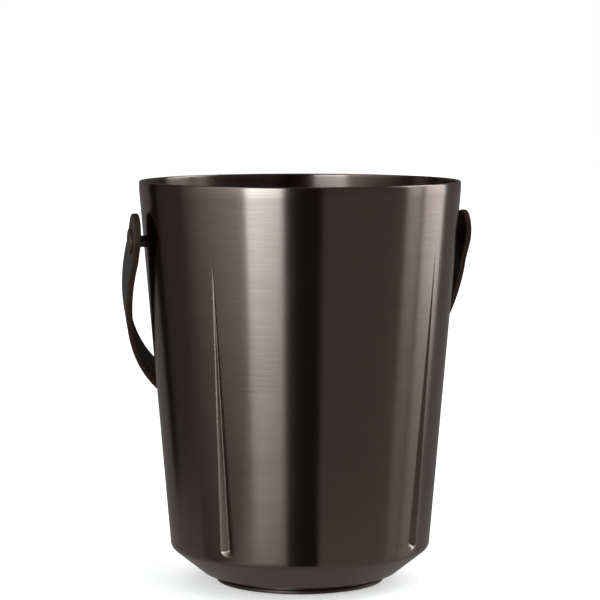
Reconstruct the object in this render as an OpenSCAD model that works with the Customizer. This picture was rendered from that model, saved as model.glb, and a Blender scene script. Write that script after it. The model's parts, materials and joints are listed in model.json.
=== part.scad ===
// Tapered metal wine bucket with four pressed flutes, a recessed foot and a
// leather bail strap that swings on two shoulder studs.
// Origin: centre of the foot, on the table. +Z up, -Y is the front, and the
// studs lie on the X axis. At rest the strap hangs behind, against the wall.

/* [Bucket shell] */
// Height of the rim above the table
bucket_h = 251.5; // [210:0.5:310]
// Outer radius of the rim band
rim_r = 100; // [90:0.5:125]
// Height of the straight hemmed band at the rim
band_h = 5.2; // [4:0.1:8]
// Thickness of the hemmed band, sheet folded back on itself
hem_t = 2; // [1.8:0.1:3]
// Thickness of the sheet
wall_t = 1.2; // [0.8:0.1:1.6]
// Outer radius where the taper meets the chamfer
knee_r = 81; // [70:0.5:98]
// Height of that meeting above the underside of the shell
knee_rise = 16.3; // [12:0.1:22]
// Rounding of the knee
knee_round = 6; // [3:0.5:10]
// Outer radius of the flat underside
base_r = 60.5; // [56:0.5:66]
// Rounding where the chamfer turns under
base_round = 2.5; // [1.5:0.1:4]

/* [Flutes] */
// Number of pressed flutes, spaced evenly between the studs
flute_count = 4; // [4:4:8]
// Width of a flute at its lower end, on the surface
flute_w = 8; // [5:0.1:11]
// Depth of a flute at its lower end
flute_depth = 2.4; // [1:0.1:3.4]
// Distance from the rim down to the upper tip of a flute
flute_drop = 47; // [40:0.5:80]
// Distance from the knee up to the lower end of a flute
flute_lift = 4.4; // [4:0.1:20]

/* [Foot] */
// Height of the shell's underside above the table
foot_h = 6.5; // [5:0.1:9]
// Outer radius of the foot bead
foot_r = 52.5; // [44:0.5:54]
// Height of the foot bead
bead_h = 2.1; // [1.5:0.1:3]
// Depth of the groove between bead and shell
groove_d = 2.2; // [1:0.1:4]
// Width of the ring that is welded under the shell
foot_ring_w = 9; // [6:0.5:14]
// Thickness of the rubber pad under the bead
pad_t = 1; // [0.8:0.1:2]
// How far the pad's edge is set back under the bead
pad_inset = 4.5; // [1:0.5:6]
// Height of the pad's locating boss inside the ring
pad_boss_h = 1.6; // [1:0.1:2]

/* [Strap] */
// Width of the leather
strap_w = 25; // [20:0.5:31]
// Thickness of the leather
strap_t = 4; // [3:0.1:5]
// Gap between the rim band and the inner face of the strap at the stud
strap_rim_gap = 2.4; // [1.5:0.1:6]
// Distance from the stud axis to the middle line of the crown
strap_reach = 152.5; // [145:0.1:190]
// How far the crown's shoulders push out beyond the stud
strap_shoulder = 16.8; // [5:0.1:30]
// How gently the strap starts to bend once it is clear of the stud's head
strap_lead = 4; // [2:0.5:20]
// Length of the rounded tab beyond the stud axis
tab_l = 19; // [16:0.5:25]
// Gap between the hanging strap and the back of the bucket
hang_gap = 0.5; // [0.3:0.1:2]

/* [Stud hardware] */
// Distance from the rim down to the stud axis
stud_drop = 36.7; // [30:0.1:44]
// Radius of the stud's disc head
head_r = 7.7; // [6.5:0.1:9]
// Thickness of the disc head
head_t = 1.3; // [1:0.1:2.5]
// Radius of the sleeve's shoulder, which holds the strap off the wall
shoulder_r = 3.6; // [3.2:0.1:4.5]
// Radius of the sleeve's nose, which the strap turns on
nose_r = 2.8; // [2.7:0.1:3.1]
// Radius of the screw's shank
shank_r = 2; // [1.5:0.1:2.2]
// Radius of the washers inside the bucket
washer_r = 6; // [5:0.1:8]
// Thickness of the rubber washer at its edge
seal_t = 1.5; // [1:0.1:2.5]
// Thickness of the steel washer
backing_t = 0.8; // [0.5:0.1:1.5]
// Width across the flats of the cap nut
nut_af = 7; // [6.4:0.1:8]
// Height of the cap nut's hexagon
nut_hex_h = 3.2; // [2.5:0.1:4]

/* [Hidden] */
$fn = 96;
// Finer steps for the large cones that small pieces are seated on
wall_fn = 360;
// Radial running clearance of the strap on the nose
run_gap = 0.08;
// Side play of the strap on each side, between shoulder and head
side_play = 0.15;
// Clearance of screws in sleeves, washers and nuts
fit_gap = 0.05;
// Clearance between a curved wall and what is seated on it
seat_gap = 0.03;
// Arc steps of a fillet, and bend steps of half the strap
fillet_steps = 8;
bend_steps = 26;
// How far the strap stays flat past the edge of the stud's head
flat_margin = 0.3;
// Edge rounding of the rim band
rim_round = 0.8;
// Bottom thickness of the cap nut's blind hole
nut_floor = 0.8;

band_z = bucket_h - band_h;
knee_z = foot_h + knee_rise;
taper = (rim_r - knee_r) / (band_z - knee_z);
lean = atan(taper);
function wall_r(z) = knee_r + (z - knee_z) * taper;

stud_z = bucket_h - stud_drop;
strap_in = rim_r + strap_rim_gap;
strap_mid = strap_in + strap_t / 2;
strap_out = strap_in + strap_t;
flat_l = head_r + flat_margin;
nose_end = strap_out + side_play;
shoulder_x = strap_in - side_play;
inner_wall = wall_r(stud_z) - wall_t / cos(lean);
seal_x = inner_wall - seal_t;
backing_x = seal_x - backing_t;
nut_bore_end = backing_x - nut_hex_h - 1.2;
nut_end = nut_bore_end - nut_floor;

// The lower front edge of the hanging strap meets the wall at its crown:
// p sin(a) + q cos(a) = k, where a is the angle back from straight down.
crown_in = strap_reach - strap_t / 2;
hang_p = crown_in + taper * strap_w / 2;
hang_q = taper * crown_in - strap_w / 2;
hang_k = wall_r(stud_z) + hang_gap;
hang = asin(hang_k / norm([hang_p, hang_q])) - atan2(hang_q, hang_p);

// Unit vector from a to b, and its left-hand normal
function unit(a, b) = (b - a) / norm(b - a);
function left(v) = [-v[1], v[0]];

// Corner b of a sheet's outline, moved d to the left of the way a-b-c
function shifted(a, b, c, d) =
    let (n1 = left(unit(a, b)), n2 = left(unit(b, c)))
    b + (n1 + n2) * d / (1 + n1 * n2);

// Arc points of radius r that round the corner b
function fillet(a, b, c, r) =
    let (u = unit(b, a), v = unit(b, c),
         half = acos(u * v) / 2,
         mid = unit([0, 0], u + v) * r / sin(half),
         from = b + u * r / tan(half) - (b + mid),
         turn = sign(u[0] * v[1] - u[1] * v[0]) * -(180 - 2 * half))
    [for (i = [0:fillet_steps])
        let (a = turn * i / fillet_steps)
        b + mid + [from[0] * cos(a) - from[1] * sin(a),
                   from[0] * sin(a) + from[1] * cos(a)]];

// Section of the shell's outside, shifted in by d, from the axis up to z = top
module shell_section(d, round_by, top) {
    p0 = [0, foot_h];
    p1 = [base_r, foot_h];
    p2 = [knee_r, knee_z];
    p3 = [wall_r(top), top];
    q1 = shifted(p0, p1, p2, d);
    q2 = shifted(p1, p2, p3, d);
    q0 = [0, q1[1]];
    q3 = [p3[0] - d / cos(lean), top];
    polygon(concat([q0], fillet(q0, q1, q2, base_round - round_by),
                   fillet(q1, q2, q3, knee_round - round_by), [q3, [0, top]]));
}

// One pressed flute, grown by g: a long cone lying in the wall, round below.
// Its section is a half profile about its own axis, which leans with the wall.
module flute(g) {
    half_w = flute_w / 2;
    r_low = (half_w * half_w + flute_depth * flute_depth) / (2 * flute_depth);
    z_low = knee_z + flute_lift + half_w;
    z_high = bucket_h - flute_drop;
    out = r_low - flute_depth;
    foot = [wall_r(z_low) + out, z_low];
    tip = [wall_r(z_high), z_high];
    span = norm(tip - foot);
    tip_r = 0.25;
    translate([foot[0], 0, foot[1]])
        rotate([0, atan2(tip[0] - foot[0], tip[1] - foot[1]), 0])
            rotate_extrude()
                polygon(concat(
                    [for (i = [0:fillet_steps])
                        let (a = -90 + 90 * i / fillet_steps)
                        (r_low + g) * [cos(a), sin(a)]],
                    [[tip_r + g, span], [0, span]]));
}

module flutes(g) {
    for (i = [0:flute_count - 1])
        rotate([0, 0, (i + 0.5) * 360 / flute_count])
            flute(g);
}

module bucket_shell() {
    color([0.27, 0.24, 0.23])
    difference() {
        union() {
            difference() {
                rotate_extrude() shell_section(0, 0, band_z);
                flutes(0);
            }
            translate([0, 0, band_z])
                rotate_extrude()
                    polygon([[0, 0], [rim_r, 0], [rim_r, band_h - rim_round],
                             [rim_r - rim_round / 3, band_h - rim_round / 3],
                             [rim_r - rim_round, band_h], [0, band_h]]);
        }
        difference() {
            rotate_extrude() shell_section(wall_t, wall_t, band_z);
            flutes(wall_t);
        }
        translate([0, 0, band_z])
            rotate_extrude()
                polygon([[0, -0.01], [rim_r - hem_t, -0.01],
                         [rim_r - hem_t, band_h - rim_round],
                         [rim_r - hem_t + rim_round / 3, band_h - rim_round / 3],
                         [rim_r - hem_t + rim_round, band_h],
                         [rim_r - hem_t + rim_round, band_h + 1], [0, band_h + 1]]);
        along_x(0) cylinder(r = shank_r + 2 * fit_gap, h = 2 * rim_r + 20, center = true);
    }
}

// Welded under the shell: a flange, a groove that stays in shadow, and a bead
module foot_ring() {
    neck_r = foot_r - groove_d;
    color([0.33, 0.29, 0.27])
    rotate_extrude()
        polygon([[foot_r - foot_ring_w, pad_t],
                 [foot_r - 0.4, pad_t], [foot_r, pad_t + 0.4],
                 [foot_r, pad_t + bead_h - 0.4], [foot_r - 0.4, pad_t + bead_h],
                 [neck_r, pad_t + bead_h], [neck_r, foot_h],
                 [foot_r - foot_ring_w, foot_h]]);
}

// Rubber disc that the bucket stands on, centred by its boss in the ring
module foot_pad() {
    color([0.08, 0.08, 0.08])
    union() {
        cylinder(r = foot_r - pad_inset, h = pad_t);
        cylinder(r = foot_r - foot_ring_w - fit_gap, h = pad_t + pad_boss_h);
    }
}

// Middle line of half the strap, in its own plane: [distance from the centre
// plane, distance from the stud axis], with t = 0 where the flat part under the
// stud's head ends and t = 1 at the crown
function bend(t) =
    pow(1 - t, 3) * [strap_mid, flat_l]
    + 3 * pow(1 - t, 2) * t * [strap_mid, flat_l + strap_lead]
    + 3 * (1 - t) * t * t * [strap_mid + strap_shoulder, strap_reach]
    + t * t * t * [0, strap_reach];
function bend_way(t) =
    unit([0, 0], 3 * pow(1 - t, 2) * [0, strap_lead]
    + 6 * (1 - t) * t * [strap_shoulder, strap_reach - flat_l - strap_lead]
    + 3 * t * t * [-strap_mid - strap_shoulder, 0]);

// One side of half the strap, moved out by d, from its tab to the crown
function strap_side(d) = concat([[strap_mid + d, -tab_l]],
    [for (i = [0:bend_steps]) let (t = i / bend_steps) bend(t) - d * left(bend_way(t))]);
// The same points from the crown back, without the crown itself, and mirrored
function reversed(points) = [for (i = [len(points) - 2:-1:0]) points[i]];
function mirrored(points) = [for (p = reversed(points)) [-p[0], p[1]]];

// Lies in the hanging plane: the outline's second axis points down the strap
module in_hanging_plane() {
    translate([0, 0, stud_z]) rotate([hang - 90, 0, 0]) children();
}

module handle_strap() {
    outer = strap_side(strap_t / 2);
    inner = strap_side(-strap_t / 2);
    half_w = strap_w / 2;
    end_y = -(tab_l - half_w);
    all_x = 2 * (strap_out + strap_shoulder + 10);
    color([0.19, 0.14, 0.12])
    in_hanging_plane()
    difference() {
        intersection() {
            linear_extrude(height = strap_w, center = true)
                polygon(concat(outer, mirrored(outer),
                               [for (p = inner) [-p[0], p[1]]], reversed(inner)));
            union() {
                translate([0, end_y, 0]) rotate([0, 90, 0])
                    cylinder(r = half_w, h = all_x, center = true);
                translate([-all_x / 2, end_y, -half_w - 1])
                    cube([all_x, strap_reach + tab_l + 20, strap_w + 2]);
            }
        }
        rotate([0, 90, 0])
            cylinder(r = nose_r + run_gap, h = all_x, center = true);
    }
}

// Turns +Z to point out along X at the stud's height, starting x from the axis
module along_x(x) {
    translate([x, 0, stud_z]) rotate([0, 90, 0]) children();
}
module on_side(side) {
    if (side > 0) children();
    else mirror([1, 0, 0]) children();
}
// All that lies inside the wall's outer surface shifted in by d, near the studs
module within_wall(d) {
    rotate_extrude($fn = wall_fn)
        polygon([[0, stud_z - 30], [wall_r(stud_z - 30) - d / cos(lean), stud_z - 30],
                 [wall_r(stud_z + 30) - d / cos(lean), stud_z + 30], [0, stud_z + 30]]);
}

// Shouldered tube: its shoulder stands on the wall, its nose carries the strap
module shoulder_sleeve(side) {
    start = wall_r(stud_z) - 3;
    color([0.2, 0.18, 0.17])
    on_side(side)
    difference() {
        union() {
            along_x(start) cylinder(r = shoulder_r, h = shoulder_x - start);
            along_x(start) cylinder(r = nose_r, h = nose_end - start);
        }
        within_wall(-seat_gap);
        along_x(start - 1) cylinder(r = shank_r + fit_gap, h = nose_end - start + 2);
    }
}

// Flat disc-headed screw, put in from outside through sleeve and wall
module stud_screw(side) {
    edge = 0.35;
    color([0.3, 0.27, 0.25])
    on_side(side)
    union() {
        along_x(nose_end) cylinder(r = head_r, h = head_t - edge);
        along_x(nose_end + head_t - edge) cylinder(r1 = head_r, r2 = head_r - edge, h = edge);
        along_x(nut_bore_end + 0.4) cylinder(r = shank_r, h = nose_end - nut_bore_end);
    }
}

// Rubber washer, moulded to the curve of the wall, which keeps the water in
module seal_washer(side) {
    color([0.1, 0.1, 0.1])
    on_side(side)
    difference() {
        intersection() {
            along_x(seal_x) cylinder(r = washer_r, h = 3 * seal_t);
            within_wall(wall_t + seat_gap);
        }
        along_x(seal_x - 1) cylinder(r = shank_r + fit_gap, h = 3 * seal_t + 2);
    }
}

module backing_washer(side) {
    color([0.6, 0.58, 0.56])
    on_side(side)
    difference() {
        along_x(backing_x) cylinder(r = washer_r - 0.5, h = backing_t);
        along_x(backing_x - 1) cylinder(r = shank_r + fit_gap, h = backing_t + 2);
    }
}

// Closed nut with a low dome, so that nothing sharp stands out inside
module cap_nut(side) {
    corner_r = nut_af / 2 / cos(30);
    hex_x = backing_x - nut_hex_h;
    dome_h = hex_x - nut_end;
    dome_r = (nut_af * nut_af / 4 + dome_h * dome_h) / (2 * dome_h);
    color([0.6, 0.58, 0.56])
    on_side(side)
    difference() {
        union() {
            along_x(hex_x) rotate([0, 0, 30]) cylinder(r = corner_r, h = nut_hex_h, $fn = 6);
            intersection() {
                translate([nut_end + dome_r, 0, stud_z]) sphere(r = dome_r);
                along_x(nut_end - 1) cylinder(r = nut_af / 2, h = dome_h + 2);
            }
        }
        along_x(nut_bore_end) cylinder(r = shank_r + fit_gap, h = backing_x - nut_bore_end + 1);
    }
}

bucket_shell();
foot_ring();
foot_pad();
handle_strap();
shoulder_sleeve(-1);  // shoulder_sleeve_left
shoulder_sleeve(1);  // shoulder_sleeve_right
stud_screw(-1);  // stud_screw_left
stud_screw(1);  // stud_screw_right
seal_washer(-1);  // seal_washer_left
seal_washer(1);  // seal_washer_right
backing_washer(-1);  // backing_washer_left
backing_washer(1);  // backing_washer_right
cap_nut(-1);  // cap_nut_left
cap_nut(1);  // cap_nut_right
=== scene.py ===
# %% [markdown]
# # A brushed gunmetal champagne bucket with a leather bail strap
#
# The object is a tapered sheet-metal bucket with a rounded knee, a chamfer down to a recessed
# foot, four pressed flutes and a thick leather strap that swings on two shouldered studs.
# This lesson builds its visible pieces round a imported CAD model. The CAD says where each piece
# sits and how it moves; here each piece gets its finished shape and its finish.

import json
import math

import bmesh
import bpy
import numpy as np
from mathutils import Matrix, Vector


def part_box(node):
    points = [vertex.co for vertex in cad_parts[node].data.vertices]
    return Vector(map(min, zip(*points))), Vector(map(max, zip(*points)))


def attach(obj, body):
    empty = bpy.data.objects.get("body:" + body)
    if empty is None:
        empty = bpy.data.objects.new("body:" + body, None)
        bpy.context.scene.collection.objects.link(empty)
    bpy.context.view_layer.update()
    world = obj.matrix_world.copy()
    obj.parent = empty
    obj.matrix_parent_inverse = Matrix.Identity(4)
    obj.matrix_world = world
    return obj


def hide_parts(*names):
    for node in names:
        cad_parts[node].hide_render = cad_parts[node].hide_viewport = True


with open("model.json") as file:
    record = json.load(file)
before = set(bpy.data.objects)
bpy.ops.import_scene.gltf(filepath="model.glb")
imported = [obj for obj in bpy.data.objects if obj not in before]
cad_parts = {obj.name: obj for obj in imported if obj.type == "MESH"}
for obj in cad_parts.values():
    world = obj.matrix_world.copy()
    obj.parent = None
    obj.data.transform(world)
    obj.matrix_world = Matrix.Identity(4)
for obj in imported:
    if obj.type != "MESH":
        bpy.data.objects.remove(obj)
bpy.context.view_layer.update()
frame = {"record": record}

# %% [markdown]
# ## Sizes
#
# Blender works in metres and a sheet-metal drawing in millimetres, so `mm` turns one into the
# other. The large sizes are read from the CAD boxes, which keeps both models together when the
# bucket changes. The small ones, such as a flute's depth or the thickness of the leather, are
# the drawing's own values.

# %% Sizes read from the frame
mm = 0.001
shell_low, shell_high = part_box("bucket_shell")
bucket_h = shell_high.z
underside_z = shell_low.z
rim_r = shell_high.x
stud_z = frame["record"]["behaviour"]["joints"][0]["pos_m"][2]
ring_low, ring_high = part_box("foot_ring")
foot_r = ring_high.x
pad_t = ring_low.z
print(f"rim radius {rim_r / mm:.1f} mm, height {bucket_h / mm:.1f} mm, studs at {stud_z / mm:.1f} mm")

# %% Sizes from the drawing
wall_t = 1.2 * mm
band_h = 5.2 * mm
hem_t = 2.0 * mm
knee_r = 81 * mm
knee_z = underside_z + 16.3 * mm
knee_round = 6 * mm
base_r = 60.5 * mm
base_round = 2.5 * mm
band_z = bucket_h - band_h
taper = (rim_r - knee_r) / (band_z - knee_z)
lean = math.atan(taper)


def wall_r(z):
    """Outer radius of the tapered wall at height z."""
    return knee_r + (z - knee_z) * taper


print(f"the wall leans out {math.degrees(lean):.2f} degrees")

# %% [markdown]
# ## Camera
#
# A wide lens close by would swell the rim, so this is a long lens a good way off. The camera
# stands a little above the rim, which shows the mouth as a thin ellipse, and it is turned so
# that the left stud comes towards the viewer.

# %% Camera
camera_distance = 1606 * mm
camera_height = bucket_h + 69.6 * mm
camera_turn = math.radians(12.47)
camera_pitch = math.radians(5.14)
lens_mm = 155


def towards(azimuth):
    """Level unit vector from the bucket, with azimuth 0 at the camera and growing to its right."""
    a = azimuth - camera_turn
    return Vector((math.sin(a), -math.cos(a), 0))


def in_scene(name, data):
    """A new object that holds `data`, put into the scene."""
    thing = bpy.data.objects.new(name, data)
    bpy.context.scene.collection.objects.link(thing)
    return thing


camera = in_scene("camera", bpy.data.cameras.new("camera"))
camera.data.lens = lens_mm
camera.location = towards(0) * camera_distance + Vector((0, 0, camera_height))
looking = Vector((0, 0, -math.sin(camera_pitch))) - towards(0) * math.cos(camera_pitch)
camera.rotation_euler = looking.to_track_quat("-Z", "Y").to_euler()
bpy.context.scene.camera = camera
bpy.context.scene.view_settings.view_transform = "Standard"
print("camera at", [round(v, 3) for v in camera.location])

# %% [markdown]
# ## Turning outlines into meshes
#
# Almost every metal piece here was made on a lathe or a spinning chuck, so its shape is an
# outline swept round an axis. Blender's Screw modifier could do that, but it can't press a
# flute into the sweep. Instead `skin` joins rings of points with quads, and each piece works
# out its own rings. Rounded corners come from `rounded`, which walks along an outline and
# replaces each corner by an arc.


# %% Outlines
def unit(v):
    return v / np.linalg.norm(v)


def rounded(points, radii, steps=8):
    """An outline of (r, z) points with each inner corner replaced by an arc of its radius."""
    points = [np.array(p, float) for p in points]
    out = [points[0]]
    for before, corner, after, radius in zip(points, points[1:], points[2:], radii):
        u, v = unit(before - corner), unit(after - corner)
        half = math.acos(max(-1, min(1, u @ v))) / 2
        nearly_straight = half > math.radians(89.9)
        if radius == 0 or nearly_straight:
            out.append(corner)
            continue
        centre = corner + unit(u + v) * radius / math.sin(half)
        start = corner + u * radius / math.tan(half) - centre
        sweep = math.pi - 2 * half
        if u[0] * v[1] - u[1] * v[0] > 0:
            sweep = -sweep
        for i in range(steps + 1):
            a = sweep * i / steps
            turn = np.array([[math.cos(a), -math.sin(a)], [math.sin(a), math.cos(a)]])
            out.append(centre + turn @ start)
    return out + [points[-1]]


def divided(points, step):
    """The same outline with points added, so that no stretch is longer than step."""
    out = [points[0]]
    for a, b in zip(points, points[1:]):
        n = max(1, math.ceil(np.linalg.norm(b - a) / step - 1e-6))
        out += [a + (b - a) * i / n for i in range(1, n + 1)]
    return np.array(out)


# %% Skinning rings
def skin(name, rings, material):
    """A mesh from rings of equal length. Points that fall together are welded into poles."""
    rings = np.asarray(rings)
    rows, columns = rings.shape[:2]
    index = np.arange(rows * columns).reshape(rows, columns)
    beside = np.roll(index, -1, axis=1)
    quads = np.stack([index[:-1], beside[:-1], beside[1:], index[1:]], axis=-1).reshape(-1, 4)
    mesh = bpy.data.meshes.new(name)
    mesh.from_pydata(rings.reshape(-1, 3).tolist(), [], quads.tolist())
    piece = in_scene(name, mesh)
    mesh.materials.append(material)
    weld(piece)
    return piece


def weld(piece, distance=1e-6):
    """Joins points that lie together, drops the faces that vanish and turns normals outward."""
    work = bmesh.new()
    work.from_mesh(piece.data)
    bmesh.ops.remove_doubles(work, verts=work.verts, dist=distance)
    bmesh.ops.dissolve_degenerate(work, edges=work.edges, dist=distance / 10)
    bmesh.ops.recalc_face_normals(work, faces=work.faces)
    work.to_mesh(piece.data)
    work.free()
    piece.data.shade_smooth()


def turned(outline, segments=64):
    """Rings of an (r, z) outline swept round the Z axis."""
    outline = np.asarray(outline, float)
    angles = np.linspace(0, 2 * math.pi, segments, endpoint=False)
    r, z = outline[:, 0, None], outline[:, 1, None]
    return np.stack([r * np.cos(angles), r * np.sin(angles), z + 0 * angles], axis=-1)


def report(piece):
    """Prints what was made, and gives the piece back."""
    size = [round(v / mm, 1) for v in piece.dimensions]
    print(f"{piece.name}: {len(piece.data.polygons)} faces, {size} mm")
    return piece


# %% [markdown]
# ## Finishes that several pieces share
#
# A finish is easier to keep even when the effects in it are node groups: the same brushing
# runs over the shell, the foot and the studs, and only its scale changes. Each group here gives
# out a mask or a height. The metal itself stays in each material, because its reflection is
# what makes it metal.


# %% Node helpers
def new_group(name, inputs, outputs):
    """An empty node group with float or vector sockets, and its two end nodes."""
    tree = bpy.data.node_groups.new(name, "ShaderNodeTree")
    for label, kind, value in inputs:
        socket = tree.interface.new_socket(label, in_out="INPUT", socket_type=kind)
        if value is not None:
            socket.default_value = value
    for label, kind in outputs:
        tree.interface.new_socket(label, in_out="OUTPUT", socket_type=kind)
    return tree, tree.nodes.new("NodeGroupInput"), tree.nodes.new("NodeGroupOutput")


FLOAT, VECTOR = "NodeSocketFloat", "NodeSocketVector"


def add(tree, kind, **settings):
    """A new node, with its properties set by name."""
    node = tree.nodes.new(kind)
    for key, value in settings.items():
        setattr(node, key, value)
    return node


def join(tree, source, target):
    tree.links.new(source, target)


def math_node(tree, operation, a, b=None, c=None, clamp=False):
    """A Math node whose inputs are sockets or plain numbers. Gives its output socket."""
    node = add(tree, "ShaderNodeMath", operation=operation, use_clamp=clamp)
    for slot, value in zip(node.inputs, (a, b, c)):
        if value is None:
            continue
        if isinstance(value, (int, float)):
            slot.default_value = value
        else:
            join(tree, value, slot)
    return node.outputs[0]


def blend_colour(tree, factor, first, second):
    """A Mix node for colours. Colours are sockets or tuples."""
    node = add(tree, "ShaderNodeMix", data_type="RGBA")
    for slot, value in ((node.inputs[0], factor), (node.inputs[6], first), (node.inputs[7], second)):
        if isinstance(value, (int, float)):
            slot.default_value = value
        elif isinstance(value, tuple):
            slot.default_value = (*value, 1)
        else:
            join(tree, value, slot)
    return node.outputs[2]


def noise(tree, vector, scale, detail=3.0, roughness=0.5):
    """A Noise Texture. Gives its grey output socket, from about 0.2 to 0.8."""
    node = add(tree, "ShaderNodeTexNoise")
    node.inputs["Detail"].default_value = detail
    node.inputs["Roughness"].default_value = roughness
    if isinstance(scale, (int, float)):
        node.inputs["Scale"].default_value = scale
    else:
        join(tree, scale, node.inputs["Scale"])
    join(tree, vector, node.inputs["Vector"])
    return node.outputs[0]


# %% [markdown]
# ### Spun brushing
#
# An abrasive pad held against a turning bucket leaves fine hoops. They follow the angle round
# the axis for a long way and change quickly along the wall. A noise texture does this when its
# space is squeezed: the direction from the axis is kept short, and the distance along the
# section is stretched until the noise becomes lines. The direction is used instead of the
# angle itself because an angle has a seam where it jumps from 180 to -180 degrees.

# %% Spun brushing group
tree, group_in, group_out = new_group(
    "spun brushing",
    [("Position", VECTOR, None), ("Lines per metre", FLOAT, 1500.0), ("Arc detail", FLOAT, 3.0)],
    [("Lines", FLOAT), ("Broad", FLOAT)])
split = add(tree, "ShaderNodeSeparateXYZ")
join(tree, group_in.outputs["Position"], split.inputs[0])
x, y, z = split.outputs
radius = math_node(tree, "SQRT", math_node(
    tree, "ADD", math_node(tree, "MULTIPLY", x, x), math_node(tree, "MULTIPLY", y, y)))
safe_radius = math_node(tree, "MAXIMUM", radius, 1e-4)
along = math_node(tree, "ADD", z, radius)
for label, scale in (("Lines", 1.0), ("Broad", 0.07)):
    space = add(tree, "ShaderNodeCombineXYZ")
    for axis, value in enumerate((x, y)):
        direction = math_node(tree, "DIVIDE", value, safe_radius)
        join(tree, math_node(tree, "MULTIPLY", direction, group_in.outputs["Arc detail"]),
             space.inputs[axis])
    pitch = math_node(tree, "MULTIPLY", group_in.outputs["Lines per metre"], scale)
    join(tree, math_node(tree, "MULTIPLY", along, pitch), space.inputs[2])
    join(tree, noise(tree, space.outputs[0], 1.0, detail=2.0, roughness=0.6),
         group_out.inputs[label])
brushing_group = tree
print("group", tree.name, "with", len(tree.nodes), "nodes")

# %% [markdown]
# ### Burnished edges
#
# Where a sheet is folded or a disc is turned, the edge rubs bright before the flat does.
# Cycles knows how sharply a surface bends at each point, which it calls pointiness: 0.5 on a
# flat, more on an outward edge. The group turns that into a mask and breaks it up with noise.
# The shell does without it: its bends are soft and its mesh is fine, and there the mask would
# draw thin false lines beside the flutes.

# %% Burnished edge group
tree, group_in, group_out = new_group(
    "burnished edge",
    [("Position", VECTOR, None), ("From", FLOAT, 0.51), ("To", FLOAT, 0.56),
     ("Break up", FLOAT, 0.4)],
    [("Mask", FLOAT)])
geometry = add(tree, "ShaderNodeNewGeometry")
bright = add(tree, "ShaderNodeMapRange")
join(tree, geometry.outputs["Pointiness"], bright.inputs["Value"])
join(tree, group_in.outputs["From"], bright.inputs["From Min"])
join(tree, group_in.outputs["To"], bright.inputs["From Max"])
patches = noise(tree, group_in.outputs["Position"], 160.0, detail=4.0)
kept = math_node(tree, "SUBTRACT", 1.0,
                 math_node(tree, "MULTIPLY", patches, group_in.outputs["Break up"]))
join(tree, math_node(tree, "MULTIPLY", bright.outputs[0], kept, clamp=True), group_out.inputs["Mask"])
edge_group = tree
print("group", tree.name, "with", len(tree.nodes), "nodes")

# %% [markdown]
# ### Handling
#
# Nothing that is carried stays perfectly even. Soft smudges a few centimetres across change
# how sharply metal and leather reflect. A much finer haze is the texture that a mould leaves on
# rubber. Both are weak: the bucket is new, and only just wiped.

# %% Handling group
tree, group_in, group_out = new_group(
    "handling", [("Position", VECTOR, None), ("Scale", FLOAT, 22.0)],
    [("Smudge", FLOAT), ("Haze", FLOAT)])
smudge = add(tree, "ShaderNodeMapRange")
join(tree, noise(tree, group_in.outputs["Position"], group_in.outputs["Scale"], detail=2.0),
     smudge.inputs["Value"])
smudge.inputs["From Min"].default_value = 0.42
smudge.inputs["From Max"].default_value = 0.72
join(tree, smudge.outputs[0], group_out.inputs["Smudge"])
fine = math_node(tree, "MULTIPLY", group_in.outputs["Scale"], 24.0)
join(tree, noise(tree, group_in.outputs["Position"], fine, detail=5.0), group_out.inputs["Haze"])
handling_group = tree
print("group", tree.name, "with", len(tree.nodes), "nodes")

# %% [markdown]
# ## Brushed metal
#
# Brushed metal reflects sharply along its brush lines and smears the reflection across them.
# That is why a softbox shows on this bucket as a tall band with crisp sides. In the Principled
# shader this is the Anisotropic value, with the Tangent node telling it which way the lines
# run: `RADIAL` round the piece's own axis. The lines themselves are a change of colour and a
# faint bump. Only the soft smudges reach the roughness, because noise as fine as the lines
# would break the smeared reflections into dashes.


# %% Metal
def new_material(name):
    """A material with an empty tree but for its shader and output."""
    material = bpy.data.materials.new(name)
    material.use_nodes = True
    tree = material.node_tree
    tree.nodes.clear()
    shader = add(tree, "ShaderNodeBsdfPrincipled")
    end = add(tree, "ShaderNodeOutputMaterial")
    join(tree, shader.outputs[0], end.inputs[0])
    return material, tree, shader


def emboss(tree, shader, height, strength, depth):
    """Bumps a material's surface by a height socket."""
    relief = add(tree, "ShaderNodeBump")
    relief.inputs["Strength"].default_value = strength
    relief.inputs["Distance"].default_value = depth
    join(tree, height, relief.inputs["Height"])
    join(tree, relief.outputs[0], shader.inputs["Normal"])


def place_group(tree, group, position, **values):
    """A node group in a material, fed with a position and with its own values by name."""
    node = add(tree, "ShaderNodeGroup", node_tree=group)
    join(tree, position, node.inputs["Position"])
    for key, value in values.items():
        node.inputs[key.replace("_", " ")].default_value = value
    return node


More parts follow.
